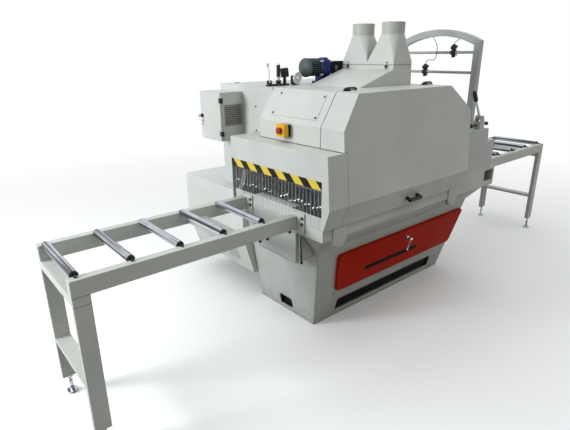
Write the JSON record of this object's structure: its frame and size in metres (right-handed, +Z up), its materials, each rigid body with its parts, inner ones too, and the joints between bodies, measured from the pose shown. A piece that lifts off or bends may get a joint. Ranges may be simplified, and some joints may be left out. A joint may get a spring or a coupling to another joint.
{
  "type": "multi rip saw",
  "caption": "Floor-standing multi-blade rip saw with roller tables, feed rollers under a sloped hood, twin dust ports, drive housing and a laser arch.",
  "frame": {"origin": "centre of the base's footprint on the floor", "axes": "+X is the feed direction, -Y the side with the door, +Z up"},
  "size_m": [4.426, 1.7296, 1.892],
  "materials": {
    "grey_paint": "satin",
    "shade_paint": "satin",
    "black_plastic": "matte",
    "chrome": "polished",
    "steel": "brushed",
    "blue_paint": "gloss",
    "clear_pvc": "clear",
    "yellow_plastic": "satin",
    "red_plastic": "satin",
    "red_paint": "gloss",
    "rubber": "matte"
  },
  "bodies": {
    "frame": {"base_frame": "grey_paint", "bed_casting": "shade_paint", "infeed_canopy": "grey_paint", "front_hood": "grey_paint", "access_cover": "grey_paint", "door_hinges": "black_plastic", "drive_housing": "grey_paint", "motor_housing": "grey_paint", "electrical_cabinet": "grey_paint", "estop_box": "yellow_plastic", "dust_hood": "grey_paint", "dust_ducts": "grey_paint", "outfeed_box": "shade_paint", "laser_arch": "shade_paint", "upper_laser_cable": "rubber", "lower_laser_cable": "rubber", "infeed_table": "grey_paint", "outfeed_table": "shade_paint", "table_brackets": "grey_paint", "leveling_feet": "chrome", "main_column": "shade_paint", "main_motor": "blue_paint", "drive_belts": "rubber", "feed_gearmotor": "blue_paint", "control_stand": "black_plastic"},
    "side_door": {"side_door": "grey_paint", "door_handle": "black_plastic"},
    "estop_button": {"estop_button": "red_plastic"},
    "red_panel": {"red_panel": "red_paint"},
    "panel_lever": {"panel_lever": "chrome"},
    "cabinet_door": {"cabinet_door": "grey_paint"},
    "cabinet_lock": {"cabinet_lock": "chrome"},
    "strip_curtain": {"strip_curtain": "clear_pvc"},
    "kickback_fingers": {"kickback_fingers": "steel"},
    "hand_lever": {"hand_lever": "black_plastic"},
    "clamp_bar": {"clamp_bar": "black_plastic"},
    "upper_laser": {"upper_laser": "black_plastic"},
    "lower_laser": {"lower_laser": "black_plastic"},
    "duct_latches": {"duct_latches": "black_plastic"},
    "clamp_lever": {"clamp_lever": "chrome"},
    "crank_lever": {"crank_lever": "black_plastic"},
    "handwheel": {"handwheel": "chrome"},
    "pressure_beam": {"pressure_beam": "shade_paint"},
    "saw_arbor": {"saw_arbor": "steel", "saw_blades": "steel"},
    "motor_pulley": {"motor_pulley": "steel"},
    "infeed_roller_1": {"infeed_roller_1": "chrome"},
    "infeed_roller_2": {"infeed_roller_2": "chrome"},
    "infeed_roller_3": {"infeed_roller_3": "chrome"},
    "infeed_roller_4": {"infeed_roller_4": "chrome"},
    "infeed_roller_5": {"infeed_roller_5": "chrome"},
    "outfeed_roller_1": {"outfeed_roller_1": "chrome"},
    "outfeed_roller_2": {"outfeed_roller_2": "chrome"},
    "outfeed_roller_3": {"outfeed_roller_3": "chrome"},
    "outfeed_roller_4": {"outfeed_roller_4": "chrome"},
    "outfeed_roller_5": {"outfeed_roller_5": "chrome"},
    "upper_feed_roller_1": {"upper_feed_roller_1": "steel"},
    "upper_feed_roller_2": {"upper_feed_roller_2": "steel"},
    "lower_feed_roller_1": {"lower_feed_roller_1": "steel"},
    "lower_feed_roller_2": {"lower_feed_roller_2": "steel"}
  },
  "joints": [
    {"name": "door_swing", "type": "hinge", "parent": "frame", "child": "side_door", "pos_m": [-0.28, -0.465, 1.528], "axis": [-1, 0, 0], "range_deg": [0, 80]},
    {"name": "estop_press", "type": "slide", "parent": "frame", "child": "estop_button", "axis": [1, 0, 0], "range_m": [0, 0.004], "stiffness_N_per_m": 900},
    {"name": "flap_swing", "type": "hinge", "parent": "frame", "child": "red_panel", "pos_m": [0.076, -0.34177, 0.23052], "axis": [1, 0, 0], "range_deg": [0, 70]},
    {"name": "flap_latch", "type": "hinge", "parent": "red_panel", "child": "panel_lever", "pos_m": [0.026, -0.3975, 0.5], "axis": [0, -0.9735, -0.2288], "range_deg": [0, 90]},
    {"name": "cabinet_swing", "type": "hinge", "parent": "frame", "child": "cabinet_door", "pos_m": [-0.932, 0.379, 1.32], "axis": [0, 0, 1], "range_deg": [0, 108]},
    {"name": "cabinet_key", "type": "hinge", "parent": "cabinet_door", "child": "cabinet_lock", "pos_m": [-0.93, 0.61, 1.318], "axis": [1, 0, 0], "range_deg": [0, 90]},
    {"name": "curtain_swing", "type": "hinge", "parent": "frame", "child": "strip_curtain", "pos_m": [-0.975, -0.2, 1.055], "axis": [0, 1, 0], "range_deg": [0, 45]},
    {"name": "finger_swing", "type": "hinge", "parent": "frame", "child": "kickback_fingers", "pos_m": [-0.905, -0.142, 1.015], "axis": [0, -1, 0], "range_deg": [0, 60]},
    {"name": "lever_swing", "type": "hinge", "parent": "frame", "child": "hand_lever", "pos_m": [0.608, -0.565, 1.275], "axis": [0, 1, 0], "range_deg": [-28, 28]},
    {"name": "bar_slide", "type": "slide", "parent": "frame", "child": "clamp_bar", "axis": [1, 0, 0], "range_m": [-0.02, 0.02]},
    {"name": "upper_laser_tilt", "type": "hinge", "parent": "frame", "child": "upper_laser", "pos_m": [0.646, -0.285, 1.712], "axis": [0, 1, 0], "range_deg": [-17, 17], "deforming": ["upper_laser_cable"]},
    {"name": "lower_laser_tilt", "type": "hinge", "parent": "frame", "child": "lower_laser", "pos_m": [0.646, -0.06, 1.575], "axis": [0, 1, 0], "range_deg": [-17, 17], "deforming": ["lower_laser_cable"]},
    {"name": "latch_swing", "type": "hinge", "parent": "frame", "child": "duct_latches", "pos_m": [-0.165, -0.159, 1.627], "axis": [0, -1, 0], "range_deg": [0, 100]},
    {"name": "clamp_lever_tilt", "type": "hinge", "parent": "frame", "child": "clamp_lever", "pos_m": [-0.717, 0.15, 1.546], "axis": [1, 0, 0], "range_deg": [0, 60]},
    {"name": "crank_lever_tilt", "type": "hinge", "parent": "frame", "child": "crank_lever", "pos_m": [-0.643, 0.15, 1.546], "axis": [1, 0, 0], "range_deg": [0, 60]},
    {"name": "beam_lift", "type": "slide", "parent": "frame", "child": "pressure_beam", "axis": [0, 0, 1], "range_m": [0, 0.08]},
    {"name": "wheel_turn", "type": "hinge", "parent": "frame", "child": "handwheel", "pos_m": [-0.509, 0.118, 1.562], "axis": [0, 1, 0], "range_deg": [0, 1440]},
    {"name": "arbor_spin", "type": "hinge", "parent": "frame", "child": "saw_arbor", "pos_m": [-0.23, 0, 1.064], "axis": [0, 1, 0], "continuous": true},
    {"name": "motor_spin", "type": "hinge", "parent": "frame", "child": "motor_pulley", "pos_m": [-0.23, 0.355, 0.53], "axis": [0, 1, 0], "continuous": true},
    {"name": "lower_feed_1", "type": "hinge", "parent": "frame", "child": "lower_feed_roller_1", "pos_m": [-0.475, -0.142, 0.8405], "axis": [0, 1, 0], "continuous": true},
    {"name": "upper_feed_1", "type": "hinge", "parent": "pressure_beam", "child": "upper_feed_roller_1", "pos_m": [-0.475, -0.142, 0.989], "axis": [0, 1, 0], "continuous": true},
    {"name": "lower_feed_2", "type": "hinge", "parent": "frame", "child": "lower_feed_roller_2", "pos_m": [0.015, -0.142, 0.8405], "axis": [0, 1, 0], "continuous": true},
    {"name": "upper_feed_2", "type": "hinge", "parent": "pressure_beam", "child": "upper_feed_roller_2", "pos_m": [0.015, -0.142, 0.989], "axis": [0, 1, 0], "continuous": true},
    {"name": "infeed_roll_1", "type": "hinge", "parent": "frame", "child": "infeed_roller_1", "pos_m": [-2.146, -0.142, 0.866], "axis": [0, 1, 0], "continuous": true},
    {"name": "outfeed_roll_1", "type": "hinge", "parent": "frame", "child": "outfeed_roller_1", "pos_m": [2.21, -0.142, 0.866], "axis": [0, 1, 0], "continuous": true},
    {"name": "infeed_roll_2", "type": "hinge", "parent": "frame", "child": "infeed_roller_2", "pos_m": [-1.906, -0.142, 0.866], "axis": [0, 1, 0], "continuous": true},
    {"name": "outfeed_roll_2", "type": "hinge", "parent": "frame", "child": "outfeed_roller_2", "pos_m": [1.945, -0.142, 0.866], "axis": [0, 1, 0], "continuous": true},
    {"name": "infeed_roll_3", "type": "hinge", "parent": "frame", "child": "infeed_roller_3", "pos_m": [-1.666, -0.142, 0.866], "axis": [0, 1, 0], "continuous": true},
    {"name": "outfeed_roll_3", "type": "hinge", "parent": "frame", "child": "outfeed_roller_3", "pos_m": [1.68, -0.142, 0.866], "axis": [0, 1, 0], "continuous": true},
    {"name": "infeed_roll_4", "type": "hinge", "parent": "frame", "child": "infeed_roller_4", "pos_m": [-1.426, -0.142, 0.866], "axis": [0, 1, 0], "continuous": true},
    {"name": "outfeed_roll_4", "type": "hinge", "parent": "frame", "child": "outfeed_roller_4", "pos_m": [1.415, -0.142, 0.866], "axis": [0, 1, 0], "continuous": true},
    {"name": "infeed_roll_5", "type": "hinge", "parent": "frame", "child": "infeed_roller_5", "pos_m": [-1.186, -0.142, 0.866], "axis": [0, 1, 0], "continuous": true},
    {"name": "outfeed_roll_5", "type": "hinge", "parent": "frame", "child": "outfeed_roller_5", "pos_m": [1.15, -0.142, 0.866], "axis": [0, 1, 0], "continuous": true}
  ],
  "couplings": [
    {"joint": "motor_spin", "follows": "arbor_spin", "ratio": 0.77778},
    {"joint": "lower_feed_2", "follows": "lower_feed_1", "ratio": 1},
    {"joint": "upper_feed_1", "follows": "lower_feed_1", "ratio": -1},
    {"joint": "upper_feed_2", "follows": "lower_feed_1", "ratio": -1},
    {"joint": "wheel_turn", "follows": "beam_lift", "rad_per_m": 314.16}
  ]
}
